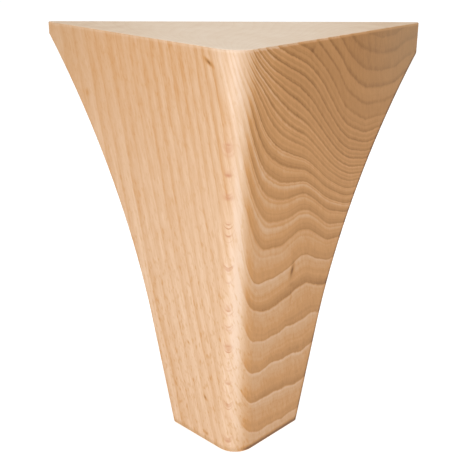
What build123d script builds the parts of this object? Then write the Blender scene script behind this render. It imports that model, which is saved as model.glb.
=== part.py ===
from build123d import *
import os
from math import atan2, degrees, radians, sqrt, tan

# Wooden furniture leg, sawn from one square block of beech.
# Two flat outer faces stand upright and meet square at a rounded front corner.
# The back is scooped away, so a wide top mounting face narrows to a small foot,
# and the scoop runs out below the top in two blunt upright noses.
# X runs along the back edge, Y from the front corner to the back, Z up.
# The origin is the middle of the top face, which is fastened under the furniture.

# Driving dimensions, in millimetres and degrees
height = 150.0            # floor to the top mounting face
top_side = 103.5          # each outer face along the top, to its sharp corners
foot_side = 36.0          # each outer face along the floor, to its sharp corners
foot_height = 40.0        # straight stretch of the back above the floor
foot_taper = 11.0         # lean of that stretch from upright
nose_left = 4.5           # upright band under the top, at its left end
nose_right = 12.0         # the same band at its right end: the scoop is sawn a little out of level
corner_radius = 8.5       # rounded front corner
edge_radius = 1.0         # eased edges round the foot and up both sides of the back
top_edge_radius = 0.5     # eased edge of the top face

# Depths across the leg, from the sharp front corner towards the back
top_depth = top_side / sqrt(2)
foot_depth = foot_side / sqrt(2)
origin_depth = top_depth * 2 / 3

# The scoop runs out along a line from one nose to the other
nose_middle = (nose_left + nose_right) / 2
scoop_tilt = degrees(atan2(nose_right - nose_left, 2 * top_depth))


def corner_block():
    """Triangular block as high as the leg, with its front corner rounded."""
    back_y = top_depth - origin_depth
    front = (0, -origin_depth)
    right = (top_depth, back_y)
    left = (-top_depth, back_y)
    triangle = make_face(Polyline(front, right, left, close=True))
    front_corner = triangle.vertices().sort_by(Axis.Y)[0]
    return extrude(fillet(front_corner, corner_radius), -height)


def back_scoop():
    """Waste sawn off the back, along a straight foot that sweeps up in one arc to the noses."""
    overrun = height
    lean = tan(radians(foot_taper))
    foot_y = foot_depth - origin_depth
    back_y = top_depth - origin_depth
    below_floor = (foot_y - overrun * lean, -height - overrun)
    foot_top = (foot_y + foot_height * lean, -height + foot_height)
    nose_edge = (back_y, -nose_middle)
    straight = Line(below_floor, foot_top)
    sweep = TangentArc(foot_top, nose_edge, tangent=straight % 1)
    behind = (back_y + overrun, -nose_middle)
    behind_below = (back_y + overrun, -height - overrun)
    waste_edge = Polyline(nose_edge, behind, behind_below, below_floor)
    waste = make_face(straight + sweep + waste_edge)
    return Rot(Y=scoop_tilt) * extrude(Plane.YZ * waste, top_depth + overrun, both=True)


def leg():
    """The block less the scoop, with its sharp edges eased."""
    body = corner_block() - back_scoop()
    faces = body.faces().sort_by(Axis.Z)
    sole, sides = faces[0], faces[1:-1]
    front = sides.filter_by(lambda face: face.normal_at().Y < 0)
    back = sides.filter_by(lambda face: face.normal_at().Y > 0)
    side_edges = front.edges() & back.edges()
    body = fillet(side_edges + sole.edges(), edge_radius)
    top = body.faces().sort_by(Axis.Z)[-1]
    return fillet(top.edges(), top_edge_radius)


os.makedirs("parts", exist_ok=True)
export_step(leg(), "parts/leg.step")
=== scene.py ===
"""Studio scene of a solid beech furniture leg, with its grain built as a solid procedural texture."""
from math import cos, e, radians, sin, sqrt

import bpy
from mathutils import Matrix, Vector

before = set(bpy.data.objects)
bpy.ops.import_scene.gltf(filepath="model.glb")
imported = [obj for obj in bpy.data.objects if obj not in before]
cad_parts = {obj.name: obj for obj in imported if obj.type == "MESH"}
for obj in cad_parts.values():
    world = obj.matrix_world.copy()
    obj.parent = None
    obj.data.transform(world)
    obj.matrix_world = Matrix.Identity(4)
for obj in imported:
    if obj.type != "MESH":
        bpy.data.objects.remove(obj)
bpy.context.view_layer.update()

# The leg stands on the floor under the origin, which is the middle of its top face
LEG_HEIGHT = 0.150
FRONT_CORNER_Y = -0.0488          # sharp front corner, before it is rounded
MM = 1000.0                       # the wood's own lengths are in millimetres
DIAGONAL = 1 / sqrt(2)            # both outer faces stand at 45 degrees to the axes

# Camera, as found from the outline of the leg in the photograph
IMAGE_SIDE = 470
FOCAL_PIXELS = 845.8
SENSOR_WIDTH = 36.0
CAMERA_PLACE = (-0.00530, -0.31206, 0.04189)
CAMERA_YAW = 1.026
CAMERA_PITCH = 21.27
CAMERA_ROLL = 0.283
CAMERA_NEAR = 0.01

# Soft studio light over a lit white floor
WHITE = (1.0, 1.0, 1.0, 1.0)
FLOOR_HALF_SIDE = 6.0
FLOOR_GREY = 0.3
FLOOR_ROUGHNESS = 0.9
FLOOR_GLOW = 0.9
WALL_RADIUS = 5.5
WALL_SIDES = 64
WALL_GREY = 0.0
WALL_ROUGHNESS = 0.5
WALL_GLOW = 1.0
SKY_GLOW = 0.2
KEY_PLACE = (-0.157, -0.438, -0.05)
KEY_SIZE = 0.20
KEY_POWER = 0.80
TOP_PLACE = (0.0, 0.0, 1.6)
TOP_SIZE = 1.6
TOP_POWER = 26.5

# The scooped back, as the part has it: an arc that runs on from a straight foot, tilted a little
SCOOP_TILT = radians(2.93)
SCOOP_CENTRE = (280.6, -167.6)    # millimetres across the leg and up, from the origin
SCOOP_RADIUS = 301.7
FOOT_TAPER = radians(11.0)
FOOT_TOP = (-15.56, -110.0)

# Bare sanded wood, whose darker grain is a little rougher and lies a little deeper
ROUGHNESS = 0.46
GRAIN_ROUGHNESS = 0.14
GRAIN_BUMP = 0.25
GRAIN_DEPTH = 0.0001
END_GRAIN_SHARE = 0.9

# Colours of the wood, linear, from the palest sapwood to the brown of a knot
WOOD_COLOURS = (
    (0.0, (0.810, 0.590, 0.430, 1.0)),
    (0.12, (0.750, 0.500, 0.315, 1.0)),
    (0.28, (0.670, 0.405, 0.222, 1.0)),
    (0.46, (0.598, 0.291, 0.097, 1.0)),
    (0.74, (0.440, 0.199, 0.053, 1.0)),
    (1.0, (0.200, 0.070, 0.008, 1.0)),
)
END_GRAIN_COLOURS = (
    (0.0, (0.830, 0.700, 0.560, 1.0)),
    (0.5, (0.760, 0.610, 0.460, 1.0)),
    (1.0, (0.620, 0.430, 0.270, 1.0)),
)
# GREYED_COLOUR greys the noses, and as painted shade the foot edge
GREYED_COLOUR = (0.470, 0.330, 0.190, 1.0)
FLECK_COLOUR = (0.560, 0.230, 0.105, 1.0)

# How far the fibres lean over each face for a millimetre of height
LEFT_LEAN = 0.25
RIGHT_LEAN = 0.12

# Growth rings up the trunk, whose numbers fall from the floor to the top
FLOOR_RING = 24.5
RING_HEIGHT = 12.8                # one ring at the foot
CROWDED_HEIGHT = 89.3             # half way up, many rings lie close together
CROWDED_SPREAD = 7.7
CROWDED_RINGS = 9.16
UPPER_HEIGHT = 89.2               # above this they stand closer than at the foot,
UPPER_RINGS = 0.0779              # by so many more rings a millimetre

# Where the ring lines of the right face leave the level: places are measured from the front corner
RISE_PLACE = 51.1                 # nearer to the corner than this, they rise towards it
RISE_WIDTH = 8.95
RISE_FOOT = 69.2                  # the rise grows between these two heights
RISE_TOP = 137.0
RISE_SHARE = 0.564
BEND_PLACE = 32.0                 # still nearer, they bend up more steeply
BEND_FOOT = 53.3
BEND_RISE = 0.000187
ARCH_PLACE = 34.5                 # a low arch in the middle of the face
ARCH_HEIGHT = 74.0
ARCH_WIDTH = 10.7
ARCH_LENGTH = 28.8
ARCH_RISE = 4.07
NOSE_PLACE = 52.2                 # beyond this, a slow rise towards the nose
NOSE_RISE = 0.00367
CORNER_PLACE = 14.0               # a last rise over the rounded corner, in rings
CORNER_RISE = 0.0026
CORNER_RISE_ABOVE = 0.0040        # so much more above the foot

# The leaning ring lines of the left face, which stand wider apart away from the front corner
LINE_LEAN = 0.305
LINE_BOW = 0.000375
LINE_START = 25.0
LINE_COUNT = 18.2
LINE_SPREAD = 0.0112
CORNER_BLEND = 6.0                # the two faces' rings blend within about this depth

# Darkness through one ring, from the spring growth at 0 to the end of summer at 1
WIDE_RING = ((0.0, 0.95), (0.06, 0.06), (0.16, 0.30), (0.6, 0.50), (0.88, 0.84), (1.0, 1.0))
CLOSE_RING = ((0.0, 0.88), (0.15, 0.05), (0.34, 0.15), (0.68, 0.36), (0.90, 0.82), (1.0, 1.0))
RING_MIDDLE = 0.45
PALEST_RING = -0.42

# The flecks on the left shoulder of the front corner
FLECK_PLACE = 4.0
FLECK_WIDTH = 2.2
FLECK_BOW = 0.25

# Small marks: face, place along it, height, half length, half width, lean, darkness
MARKS = (
    ("left", 12.9, 145.2, 1.1, 0.9, 1.06, 0.72),      # dark fleck under the top, by the corner
    ("left", 78.9, 125.8, 1.4, 1.2, 0.0, 0.14),
    ("left", 24.7, 39.5, 0.8, 0.6, 0.5, 0.40),        # short reddish flecks low on the left face
    ("left", 15.9, 19.4, 0.9, 0.6, 0.5, 0.48),
    ("left", 15.2, 3.8, 0.7, 0.6, 0.0, 0.42),
    ("right", 29.4, 67.4, 2.6, 0.9, 0.24, 0.60),      # fine drying crack
    ("right", 29.2, 61.8, 0.9, 2.0, 0.0, 0.16),
    ("right", 29.0, 55.8, 2.5, 0.6, 0.10, 0.10),
    ("right", 36.9, 146.5, 1.6, 1.0, 0.4, 0.16),
)
MARK_DEPTH = 3.0


class Field:
    """A number that varies over the wood, worked out by shader nodes."""

    def __init__(self, tree, socket):
        self.tree = tree
        self.socket = socket

    def math(self, operation, *others, swapped=False):
        """One maths node, with this value first, or last if swapped."""
        node = self.tree.nodes.new("ShaderNodeMath")
        node.operation = operation
        values = [self, *others]
        if swapped:
            values.reverse()
        for socket, value in zip(node.inputs, values):
            if isinstance(value, Field):
                self.tree.links.new(value.socket, socket)
            else:
                socket.default_value = value
        return Field(self.tree, node.outputs[0])

    def __add__(self, other):
        return self.math("ADD", other)

    __radd__ = __add__

    def __mul__(self, other):
        return self.math("MULTIPLY", other)

    __rmul__ = __mul__

    def __sub__(self, other):
        return self.math("SUBTRACT", other)

    def __rsub__(self, other):
        return self.math("SUBTRACT", other, swapped=True)

    def __truediv__(self, other):
        return self.math("DIVIDE", other)

    def __pow__(self, other):
        return self.math("POWER", other)

    def positive(self, rounding):
        """The value where it is above zero, with a soft start."""
        return self.math("SMOOTH_MAX", 0.0, rounding)

    def s_curve(self):
        """Rises from 0 to 1 about the zero of the value."""
        return (self * 0.5).math("TANH") * 0.5 + 0.5

    def bell(self):
        """1 at the zero of the value, falling to 0 on both sides."""
        return (self * self * -1.0).math("EXPONENT")

    def step(self, low, high):
        """0 below low, 1 above high, smooth between."""
        node = self.tree.nodes.new("ShaderNodeMapRange")
        node.interpolation_type = "SMOOTHSTEP"
        self.tree.links.new(self.socket, node.inputs["Value"])
        node.inputs["From Min"].default_value = low
        node.inputs["From Max"].default_value = high
        return Field(self.tree, node.outputs["Result"])


class Wood:
    """The places inside the block of wood that its texture is worked out from, in millimetres.

    The functions that use it give their steps and bells in millimetres too, or in rings where they
    step over a ring number. Their other factors are shares of the tone, which goes from 0 to 1.
    """

    def __init__(self, tree):
        self.tree = tree
        coordinates = tree.nodes.new("ShaderNodeTexCoord")
        x, y, z = self.split(coordinates.outputs["Object"])
        x = x * MM
        from_back = distance_from_back(x, y * MM, z * MM)
        y = (y - FRONT_CORNER_Y) * MM
        self.height = (z + LEG_HEIGHT) * MM
        self.along = (x + y) * DIAGONAL           # along the right face from the sharp corner
        self.behind = (y - x) * DIAGONAL          # straight in from the right face
        self.from_middle = x.math("ABSOLUTE")
        nx, ny, nz = self.split(coordinates.outputs["Normal"])
        self.flat_sawn = ((nx - ny) * DIAGONAL).math("ABSOLUTE")
        self.end_grain = nz.math("ABSOLUTE").step(0.45, 0.95)
        self.at_corner = 1.0 - (self.along + self.behind).step(10.0, 16.0)
        # The eased side edges and the foot edge, drawn darker below as painted shade
        self.side_edge = (1.0 - from_back.step(1.3, 2.5)) * (1.0 - ny.step(0.3, 0.8))
        self.foot_edge = 1.0 - self.height.step(0.8, 3.0)
        # The eased top edge, drawn paler below as a painted highlight
        self.top_edge = self.height.step(148.7, 149.5)

    def split(self, socket):
        """The three parts of a vector."""
        node = self.tree.nodes.new("ShaderNodeSeparateXYZ")
        self.tree.links.new(socket, node.inputs[0])
        return [Field(self.tree, output) for output in node.outputs]

    def place(self, across, lengthwise):
        """A place in the block, scaled across the leaning fibres and along them."""
        node = self.tree.nodes.new("ShaderNodeCombineXYZ")
        left = self.behind - self.height * LEFT_LEAN
        right = self.along + self.height * RIGHT_LEAN
        parts = (left * across, right * across, self.height * lengthwise)
        for socket, part in zip(node.inputs, parts):
            self.tree.links.new(part.socket, socket)
        return node.outputs[0]

    def noise(self, across, lengthwise, detail=2.0, roughness=0.5):
        """Smooth noise from -1 to 1, with so many waves a millimetre across the fibres and along them."""
        node = self.tree.nodes.new("ShaderNodeTexNoise")
        self.tree.links.new(self.place(across, lengthwise), node.inputs["Vector"])
        node.inputs["Scale"].default_value = 1.0
        node.inputs["Detail"].default_value = detail
        node.inputs["Roughness"].default_value = roughness
        return (Field(self.tree, node.outputs["Fac"]) - 0.5) * 2.0

    def ripple(self, number, detail=1.0):
        """Smooth noise from -1 to 1 along one number."""
        node = self.tree.nodes.new("ShaderNodeTexNoise")
        node.noise_dimensions = "1D"
        self.tree.links.new(number.socket, node.inputs["W"])
        node.inputs["Scale"].default_value = 1.0
        node.inputs["Detail"].default_value = detail
        return (Field(self.tree, node.outputs["Fac"]) - 0.5) * 2.0

    def random(self, number):
        """One fixed random value from 0 to 1 for each number."""
        node = self.tree.nodes.new("ShaderNodeTexWhiteNoise")
        node.noise_dimensions = "1D"
        self.tree.links.new(number.socket, node.inputs["W"])
        return Field(self.tree, node.outputs["Value"])


def distance_from_back(x, y, z):
    """How deep a place lies under the scooped back, in millimetres."""
    up = z * cos(SCOOP_TILT) + x * sin(SCOOP_TILT)
    over = y - SCOOP_CENTRE[0]
    rise = up - SCOOP_CENTRE[1]
    from_arc = (over * over + rise * rise).math("SQRT") - SCOOP_RADIUS
    from_foot = (up - FOOT_TOP[1]) * sin(FOOT_TAPER) - (y - FOOT_TOP[0]) * cos(FOOT_TAPER)
    on_arc = up.step(FOOT_TOP[1] - 1.0, FOOT_TOP[1] + 1.0)
    return from_arc * on_arc + from_foot * (1.0 - on_arc)


def rings_up_the_trunk(level):
    """Rings along one upright line: wide at the foot, crowded half way up."""
    crowded = ((level - CROWDED_HEIGHT) / CROWDED_SPREAD).s_curve() * CROWDED_RINGS
    upper = (level - UPPER_HEIGHT).positive(16.0) * UPPER_RINGS
    return FLOOR_RING - level / RING_HEIGHT - crowded - upper


def right_face_rings(along, height):
    """Rings on the right face, which cuts along them: level at the foot, rising to the corner above it."""
    risen = (height - RISE_FOOT).positive(16.0) - (height - RISE_TOP).positive(12.0) * 0.9
    rise = ((RISE_PLACE - along) / RISE_WIDTH).s_curve() * risen * RISE_SHARE
    bend = (BEND_PLACE - along).positive(6.0) ** 2.0 * (height - BEND_FOOT).positive(20.0) * BEND_RISE
    arch = ((along - ARCH_PLACE) / ARCH_WIDTH).bell() * ((height - ARCH_HEIGHT) / ARCH_LENGTH).bell()
    nose = (along - NOSE_PLACE).positive(8.0) ** 2.0 * NOSE_RISE
    corner_rise = height.step(10.0, 80.0) * CORNER_RISE_ABOVE + CORNER_RISE
    corner = (CORNER_PLACE - along).positive(3.0) ** 2.0 * corner_rise
    return rings_up_the_trunk(height - rise - bend - arch * ARCH_RISE - nose) + corner


def left_face_rings(behind, height):
    """Rings on the left face, which cuts across them: leaning lines, wider apart away from the corner."""
    lean = height * LINE_LEAN - height * height * LINE_BOW
    return ((behind - lean) * LINE_SPREAD + 1.0).math("LOGARITHM", e) * LINE_COUNT + LINE_START


def ring_number(wood):
    """Which year's growth a place is in: whole numbers are the lines between two rings."""
    height, along, behind = wood.height, wood.along, wood.behind
    corner_rings = right_face_rings(along * 0.0, height)
    mismatch = left_face_rings(0.0, height) - corner_rings
    near_right_face = (behind * (-1 / CORNER_BLEND)).math("EXPONENT")
    ring = left_face_rings(behind, height) + right_face_rings(along, height)
    ring = ring - corner_rings - mismatch * near_right_face
    waver = wood.noise(0.08, 0.03, detail=1.0) * 0.25
    ripple = wood.noise(0.35, 0.10) * 0.025
    ragged = wood.noise(0.8, 0.35) * (height.step(75.0, 115.0) * 0.07 + 0.02)
    return ring + waver + ripple + ragged


def ring_tone(wood, ring, flat):
    """How dark each ring is drawn, about zero: a pale line at its start, darkening to its end."""
    within = ring.math("FRACT")
    wide = curve(wood.tree, within, WIDE_RING)
    close = curve(wood.tree, within, CLOSE_RING)
    wide_share = flat * (1.0 - wood.height.step(60.0, 95.0))
    single = flat * (1.0 - ring.step(12.0, 14.0))
    crowded = single * ring.step(3.0, 6.0)
    minor = curve(wood.tree, (ring * 2.0 + 0.5).math("FRACT"), CLOSE_RING) * (1.0 - single) * 0.35
    half_way = curve(wood.tree, (ring + 0.5).math("FRACT"), CLOSE_RING) * crowded * 0.45
    fine_lines = wood.ripple(ring * 7.0, detail=2.0) * flat * 0.17
    profile = wide * wide_share + (close + minor + half_way) * (1.0 - wide_share) * 0.85
    profile = profile - RING_MIDDLE - crowded * 0.06 + fine_lines
    strength = wood.random(ring.math("FLOOR")) * 0.7 + 0.65
    fade = wood.noise(0.05, 0.02, detail=1.0) * 0.5 + 1.0
    return (profile * strength * fade).math("MAXIMUM", PALEST_RING)


def ring_contrast(wood, ring, flat):
    """How strongly the rings show: most by the front corner under the top, least towards the two noses."""
    height, along, behind = wood.height, wood.along, wood.behind
    near_corner = 1.0 - along.step(8.0, 24.0)
    calm = ((height - 90.0) / 13.0).bell() * (1.0 - along.step(18.0, 36.0))
    right = 0.48 - height.step(45.0, 100.0) * along.step(12.0, 42.0) * 0.11 - calm * 0.13
    right = right + height.step(98.0, 128.0) * (near_corner * 0.12 - along.step(38.0, 66.0) * 0.16)
    right = right - (1.0 - height.step(4.0, 18.0)) * 0.13
    right = right * (ring.step(0.0, 6.0) * 0.45 + 0.55)
    left = 0.215 - height.step(60.0, 120.0) * 0.03
    by_corner = (1.0 - behind.step(8.0, 20.0)) * 0.11
    left = left + height.step(90.0, 125.0) * (by_corner - behind.step(38.0, 60.0) * 0.07)
    return right * flat + left * (1.0 - flat)


def fibre_tone(wood, flat):
    """Long fibres, broader streaks and clouds, and the short dark dashes of the rays."""
    calm = wood.behind.step(38.0, 60.0) * wood.height.step(85.0, 115.0)
    fibre = wood.noise(0.9, 0.05, detail=3.0, roughness=0.65) * (0.17 - flat * 0.07 - calm * 0.06)
    streak = wood.noise(0.35, 0.014, detail=3.0, roughness=0.6) * (0.08 - flat * 0.03 - calm * 0.03)
    cloud = wood.noise(0.03, 0.012) * 0.05
    dashed = (0.19 - wood.height.step(30.0, 110.0) * 0.12) * (1.0 - flat * 0.65)
    dashes = wood.noise(1.2, 0.40, detail=1.0).step(0.05, 0.50) * dashed
    return fibre + streak + cloud + dashes


def mark_tone(wood):
    """A few small flecks and a fine drying crack, as soft-edged leaning strokes."""
    tone = wood.height * 0.0
    for face, place, height, half_length, half_width, lean, darkness in MARKS:
        over, depth = (wood.behind, wood.along) if face == "left" else (wood.along, wood.behind)
        up = wood.height - height
        side = over - place - up * lean
        stroke = (up / half_length).bell() * (side / half_width).bell() * (depth / MARK_DEPTH).bell()
        tone = tone + stroke * darkness
    return tone


def corner_highlight(wood):
    """Painted highlight on the front corner: about 1 along it, further left at the foot, and in a pale
    patch under the top.
    """
    height, along, behind = wood.height, wood.along, wood.behind
    flare = (height - 132.0).positive(6.0) * 0.30
    foot = 1.0 - height.step(15.0, 70.0)
    waist = ((height - 110.0) / 20.0).bell()
    from_right = along * (foot * 0.40 + 1.12 - height.step(105.0, 130.0) * 0.20)
    from_left = (behind - flare).positive(1.0) * (waist * 0.30 + 1.10 - foot * 0.22)
    broad = (1.0 - (from_right + from_left).step(4.6, 8.2)) * (height.step(0.0, 60.0) * 0.5 + 0.5)
    crest = ((along - behind) / 1.8).bell() * wood.at_corner
    return broad + crest * 0.25


def corner_flecks(wood):
    """A broken row of thin curved flecks down the left shoulder of the front corner."""
    over = wood.behind - wood.along - FLECK_PLACE
    bowed = (wood.height - over * over * FLECK_BOW) * 0.20
    thin = 1.0 - wood.ripple(bowed, detail=2.0).math("ABSOLUTE").step(0.03, 0.17)
    broken = wood.ripple(wood.height * 0.13 + 4.0).step(-0.15, 0.25)
    uneven = wood.ripple(wood.height * 0.37 + 9.0).step(-0.15, 0.35) * 0.5 + 0.5
    below_top = 1.0 - wood.height.step(118.0, 132.0)
    return thin * broken * below_top * uneven * (over / FLECK_WIDTH).bell() * wood.at_corner


def face_tone(wood, ring, flat):
    """Slow changes over the faces: darker towards the heart on the right face, painted shade darker
    upwards and away from the corner where the light falls off, paler beside it at the top.
    """
    height, along, behind = wood.height, wood.along, wood.behind
    heart = (24.0 - ring).positive(4.0)
    under_top = height.step(122.0, 150.0) * (1.0 - along.step(8.0, 28.0))
    # The heart term is the wood's own colour; the steps away from the corner and upwards are painted shade
    # where the light falls off
    right = heart * 0.010 + along.step(10.0, 60.0) * 0.05 - under_top * 0.14 + 0.18
    left = (1.0 - height.step(0.0, 55.0)) * 0.05
    both = height.step(70.0, 150.0) * 0.11 + behind.step(10.0, 50.0) * 0.05 + 0.20
    return right * flat + left * (1.0 - flat) + both


def wood_tone(wood, ring):
    """The darkness of the wood, from 0 for the palest to 1 for the brown of a knot."""
    flat = wood.flat_sawn.step(0.81, 0.999)
    # Painted highlight down the rounded front corner: it pales the wood and weakens its rings
    highlight = corner_highlight(wood)
    rings = ring_tone(wood, ring, flat) * ring_contrast(wood, ring, flat) * (1.0 - highlight * 0.45)
    year = (wood.random(ring.math("FLOOR") + 0.37) - 0.5) * 0.05
    tone = rings + year + face_tone(wood, ring, flat) + fibre_tone(wood, flat) + mark_tone(wood)
    # Painted highlights: the front corner and the eased top edge are drawn paler
    tone = tone - highlight * 0.20 - wood.top_edge * (flat * 0.22 + 0.10)
    palest = flat * (wood.height.step(60.0, 90.0) * 0.045 + 0.17)
    # Painted shade: the eased side edges and the foot edge are drawn darker, where they turn away from the
    # light
    edge_shade = wood.side_edge * (flat * 0.50 + 0.04) + wood.foot_edge * (flat * 0.58 + 0.17)
    return tone.math("MAXIMUM", palest) + edge_shade


def end_grain_tone(wood, ring):
    """The top shows the ends of the fibres: fine speckle and faint rings, tan at the noses."""
    speckle = wood.noise(1.6, 0.3) * 0.14
    cloud = wood.noise(0.05, 0.05) * 0.24
    blotch = wood.noise(0.16, 0.16) * 0.34
    line = curve(wood.tree, ring.math("FRACT"), CLOSE_RING) * 0.10
    tan = wood.from_middle.step(12.0, 66.0) * 0.50
    return speckle + cloud + blotch + line + tan + 0.15


def colour_ramp(tree, value, stops, interpolation="LINEAR"):
    """A colour read off a ramp of a few stops."""
    node = tree.nodes.new("ShaderNodeValToRGB")
    ramp = node.color_ramp
    ramp.interpolation = interpolation
    while len(ramp.elements) < len(stops):
        ramp.elements.new(0.5)
    for element, (position, colour) in zip(ramp.elements, stops):
        element.position = position
        element.color = colour
    tree.links.new(value.socket, node.inputs["Fac"])
    return node.outputs["Color"]


def curve(tree, value, points):
    """A number read off a smooth curve through a few points."""
    stops = [(position, (grey, grey, grey, 1.0)) for position, grey in points]
    return Field(tree, colour_ramp(tree, value, stops, "EASE"))


def mix_colours(tree, share, first, second):
    """The first colour with a share of the second, which is one plain colour or a socket."""
    node = tree.nodes.new("ShaderNodeMix")
    node.data_type = "RGBA"
    tree.links.new(share.socket, node.inputs["Factor"])
    tree.links.new(first, node.inputs["A"])
    if isinstance(second, tuple):
        node.inputs["B"].default_value = second
    else:
        tree.links.new(second, node.inputs["B"])
    return node.outputs["Result"]


def wood_colour(wood, ring, tone):
    """The colour of the tone, greyed at the noses, with painted shade greying the foot edge, and with the
    flecks and the end grain.
    """
    tree = wood.tree
    noses = wood.along.step(55.0, 100.0) * 0.35 + wood.behind.step(60.0, 105.0) * 0.20
    greyed = noses * wood.height.step(100.0, 150.0) * (1.0 - wood.end_grain)
    # Painted shade: the foot edge is greyed as well as darkened
    greyed = greyed + wood.foot_edge * (0.30 - wood.flat_sawn * 0.16)
    side_colour = colour_ramp(tree, tone, WOOD_COLOURS)
    side_colour = mix_colours(tree, greyed, side_colour, GREYED_COLOUR)
    side_colour = mix_colours(tree, corner_flecks(wood), side_colour, FLECK_COLOUR)
    end_colour = colour_ramp(tree, end_grain_tone(wood, ring), END_GRAIN_COLOURS)
    end_share = wood.end_grain * (1.0 - wood.foot_edge) * END_GRAIN_SHARE
    return mix_colours(tree, end_share, side_colour, end_colour)


def beech_material():
    """Solid beech, whose colour, roughness and fine bump follow one tone through the block."""
    material = bpy.data.materials.new("beech")
    material.use_nodes = True
    tree = material.node_tree
    shader = tree.nodes["Principled BSDF"]
    wood = Wood(tree)
    ring = ring_number(wood)
    tone = wood_tone(wood, ring)
    tree.links.new(wood_colour(wood, ring, tone), shader.inputs["Base Color"])
    roughness = tone * GRAIN_ROUGHNESS + ROUGHNESS
    tree.links.new(roughness.socket, shader.inputs["Roughness"])
    bump = tree.nodes.new("ShaderNodeBump")
    bump.inputs["Strength"].default_value = GRAIN_BUMP
    bump.inputs["Distance"].default_value = GRAIN_DEPTH
    tree.links.new((0.5 - tone).socket, bump.inputs["Height"])
    tree.links.new(bump.outputs["Normal"], shader.inputs["Normal"])
    return material


def glowing_material(name, grey, roughness, glow):
    """A plain grey that glows white."""
    material = bpy.data.materials.new(name)
    material.use_nodes = True
    shader = material.node_tree.nodes["Principled BSDF"]
    shader.inputs["Base Color"].default_value = (grey, grey, grey, 1.0)
    shader.inputs["Roughness"].default_value = roughness
    shader.inputs["Emission Color"].default_value = WHITE
    shader.inputs["Emission Strength"].default_value = glow
    return material


def add_mesh(name, points, faces, material):
    mesh = bpy.data.meshes.new(name)
    mesh.from_pydata(points, [], faces)
    mesh.materials.append(material)
    thing = bpy.data.objects.new(name, mesh)
    bpy.context.scene.collection.objects.link(thing)
    return thing


def add_floor():
    """A wide white floor that lights the leg from below."""
    half = FLOOR_HALF_SIDE
    corners = [(-half, -half, 0), (half, -half, 0), (half, half, 0), (-half, half, 0)]
    material = glowing_material("floor_white", FLOOR_GREY, FLOOR_ROUGHNESS, FLOOR_GLOW)
    floor = add_mesh("floor", corners, [(0, 1, 2, 3)], material)
    floor.location.z = -LEG_HEIGHT


def add_backdrop():
    """A white wall round the studio that only the camera sees, so it adds no light of its own."""
    angles = [radians(360.0 * side / WALL_SIDES) for side in range(WALL_SIDES)]
    outline = [(WALL_RADIUS * cos(angle), WALL_RADIUS * sin(angle)) for angle in angles]
    low = [(x, y, -LEG_HEIGHT) for x, y in outline]
    high = [(x, y, WALL_RADIUS) for x, y in outline]
    faces = []
    for side in range(WALL_SIDES):
        following = (side + 1) % WALL_SIDES
        faces.append((side, following, following + WALL_SIDES, side + WALL_SIDES))
    material = glowing_material("backdrop_white", WALL_GREY, WALL_ROUGHNESS, WALL_GLOW)
    wall = add_mesh("backdrop", low + high, faces, material)
    wall.visible_diffuse = False
    wall.visible_glossy = False
    wall.visible_transmission = False
    wall.visible_shadow = False


def add_area_light(name, place, target, size, power):
    light = bpy.data.lights.new(name, "AREA")
    light.shape = "DISK"
    light.size = size
    light.energy = power
    lamp = bpy.data.objects.new(name, light)
    lamp.location = place
    aim = Vector(target) - Vector(place)
    lamp.rotation_mode = "QUATERNION"
    lamp.rotation_quaternion = aim.to_track_quat("-Z", "Y")
    bpy.context.scene.collection.objects.link(lamp)


def add_lights():
    """A low white sky, a small key light from the front left and a large soft light overhead."""
    scene = bpy.context.scene
    world = bpy.data.worlds.new("studio")
    scene.world = world
    world.use_nodes = True
    background = world.node_tree.nodes["Background"]
    background.inputs["Color"].default_value = WHITE
    background.inputs["Strength"].default_value = SKY_GLOW
    middle = (0.0, FRONT_CORNER_Y, -LEG_HEIGHT / 2)
    add_area_light("key", KEY_PLACE, middle, KEY_SIZE, KEY_POWER)
    add_area_light("top", TOP_PLACE, middle, TOP_SIZE, TOP_POWER)
    scene.view_settings.view_transform = "Standard"


def add_camera():
    """A camera at the photograph's place, looking down on the front corner."""
    yaw, pitch, roll = radians(CAMERA_YAW), radians(CAMERA_PITCH), radians(CAMERA_ROLL)
    forward = Vector((sin(yaw) * cos(pitch), cos(yaw) * cos(pitch), -sin(pitch)))
    level_right = Vector((cos(yaw), -sin(yaw), 0.0))
    level_up = level_right.cross(forward)
    right = level_right * cos(roll) + level_up * sin(roll)
    up = level_up * cos(roll) - level_right * sin(roll)
    data = bpy.data.cameras.new("camera")
    data.sensor_width = SENSOR_WIDTH
    data.lens = SENSOR_WIDTH * FOCAL_PIXELS / IMAGE_SIDE
    data.clip_start = CAMERA_NEAR
    camera = bpy.data.objects.new("camera", data)
    turn = Matrix((right, up, -forward)).transposed().to_4x4()
    camera.matrix_world = Matrix.Translation(CAMERA_PLACE) @ turn
    bpy.context.scene.collection.objects.link(camera)
    bpy.context.scene.camera = camera


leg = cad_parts["leg"]
leg.data.materials.clear()
leg.data.materials.append(beech_material())
add_floor()
add_backdrop()
add_lights()
add_camera()
